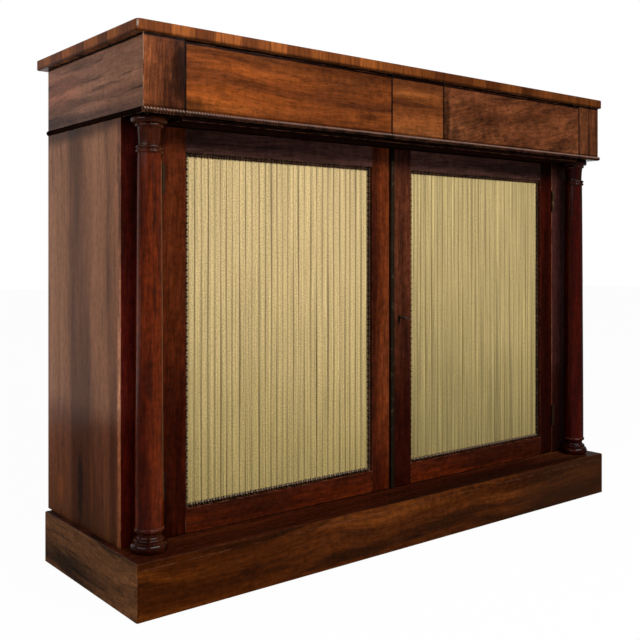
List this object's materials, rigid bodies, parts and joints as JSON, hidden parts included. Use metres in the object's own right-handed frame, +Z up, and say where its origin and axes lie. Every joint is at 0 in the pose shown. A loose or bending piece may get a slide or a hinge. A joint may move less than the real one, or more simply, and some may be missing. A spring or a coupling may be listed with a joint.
{
  "type": "chiffonier",
  "caption": "Low Regency side cupboard with silk-panelled doors, shallow frieze drawers beside a fixed tablet, and turned columns standing on a ledged plinth.",
  "frame": {"origin": "on the floor, under the middle of the top board", "axes": "+X along the width to the viewer's right, -Y out of the front, +Z up"},
  "size_m": [1.2, 0.396, 0.915],
  "materials": {
    "rosewood_top": "french polish, worn, semi-gloss",
    "rosewood_front": "french polish, semi-gloss",
    "rosewood_side": "faded french polish, satin",
    "rosewood_door": "french polish, semi-gloss",
    "rosewood_turned": "french polish, gloss",
    "rosewood_plinth": "worn french polish, satin",
    "carcass_pine": "planed, unfinished",
    "drawer_oak": "planed, unfinished",
    "silk": "pleated silk, soft sheen",
    "brass": "old polished brass",
    "iron": "dull iron"
  },
  "bodies": {
    "carcass": {"top_board": "rosewood_top", "top_crossbanding": "rosewood_top", "frieze_side_left": "rosewood_side", "frieze_side_right": "rosewood_side", "frieze_end_blocks": "rosewood_front", "frieze_tablet": "rosewood_front", "frieze_floor": "carcass_pine", "frieze_rope_moulding": "rosewood_front", "side_beads": "rosewood_side", "head_rail": "rosewood_door", "drawer_guides": "carcass_pine", "column_left": "rosewood_turned", "column_right": "rosewood_turned", "side_panel_left": "rosewood_side", "side_panel_right": "rosewood_side", "front_post_left": "rosewood_door", "front_post_right": "rosewood_door", "floor_board": "carcass_pine", "shelf": "carcass_pine", "shelf_bearers": "carcass_pine", "back_boards": "carcass_pine", "plinth_front": "rosewood_plinth", "plinth_sides": "rosewood_plinth", "plinth_back": "carcass_pine", "plinth_top": "rosewood_plinth", "plinth_blocks": "carcass_pine", "post_hinge_leaves": "brass"},
    "left_door": {"left_door_hinge_stile": "rosewood_door", "left_door_meeting_stile": "rosewood_door", "left_door_top_rail": "rosewood_door", "left_door_bottom_rail": "rosewood_door", "left_door_beads": "rosewood_door", "left_door_silk": "silk", "left_door_backing": "carcass_pine", "left_door_hinge_leaves": "brass", "left_door_bolt_plates": "brass", "strike_plate": "brass"},
    "right_door": {"right_door_hinge_stile": "rosewood_door", "right_door_meeting_stile": "rosewood_door", "right_door_top_rail": "rosewood_door", "right_door_bottom_rail": "rosewood_door", "right_door_beads": "rosewood_door", "right_door_silk": "silk", "right_door_backing": "carcass_pine", "right_door_hinge_leaves": "brass", "door_astragal": "brass", "lock_case": "brass", "escutcheon": "brass"},
    "key": {"key": "iron"},
    "lock_bolt": {"lock_bolt": "brass"},
    "left_door_top_bolt": {"left_door_top_bolt": "brass"},
    "left_door_bottom_bolt": {"left_door_bottom_bolt": "brass"},
    "left_drawer": {"left_drawer_front": "rosewood_front", "left_drawer_moulding": "rosewood_front", "left_drawer_sides": "drawer_oak", "left_drawer_bottom": "drawer_oak"},
    "right_drawer": {"right_drawer_front": "rosewood_front", "right_drawer_moulding": "rosewood_front", "right_drawer_sides": "drawer_oak", "right_drawer_bottom": "drawer_oak"}
  },
  "joints": [
    {"name": "right_door_hinge", "type": "hinge", "parent": "carcass", "child": "right_door", "pos_m": [0.51375, -0.1218, 0.4292], "axis": [0, 0, 1], "range_deg": [0, 108]},
    {"name": "left_door_hinge", "type": "hinge", "parent": "carcass", "child": "left_door", "pos_m": [-0.51375, -0.1218, 0.4292], "axis": [0, 0, -1], "range_deg": [0, 108]},
    {"name": "key_turn", "type": "hinge", "parent": "right_door", "child": "key", "pos_m": [0.0193, -0.125, 0.43], "axis": [0, -1, 0], "range_deg": [0, 270]},
    {"name": "lock_bolt_slide", "type": "slide", "parent": "right_door", "child": "lock_bolt", "axis": [-1, 0, 0], "range_m": [0, 0.008]},
    {"name": "top_bolt_slide", "type": "slide", "parent": "left_door", "child": "left_door_top_bolt", "axis": [0, 0, 1], "range_m": [0, 0.007]},
    {"name": "bottom_bolt_slide", "type": "slide", "parent": "left_door", "child": "left_door_bottom_bolt", "axis": [0, 0, -1], "range_m": [0, 0.007]},
    {"name": "left_drawer_slide", "type": "slide", "parent": "carcass", "child": "left_drawer", "axis": [0, -1, 0], "range_m": [0, 0.25]},
    {"name": "right_drawer_slide", "type": "slide", "parent": "carcass", "child": "right_drawer", "axis": [0, -1, 0], "range_m": [0, 0.25]}
  ],
  "couplings": [
    {"joint": "left_door_hinge", "follows": "right_door_hinge", "ratio": 1},
    {"joint": "lock_bolt_slide", "follows": "key_turn", "m_per_rad": 0.0016977}
  ]
}
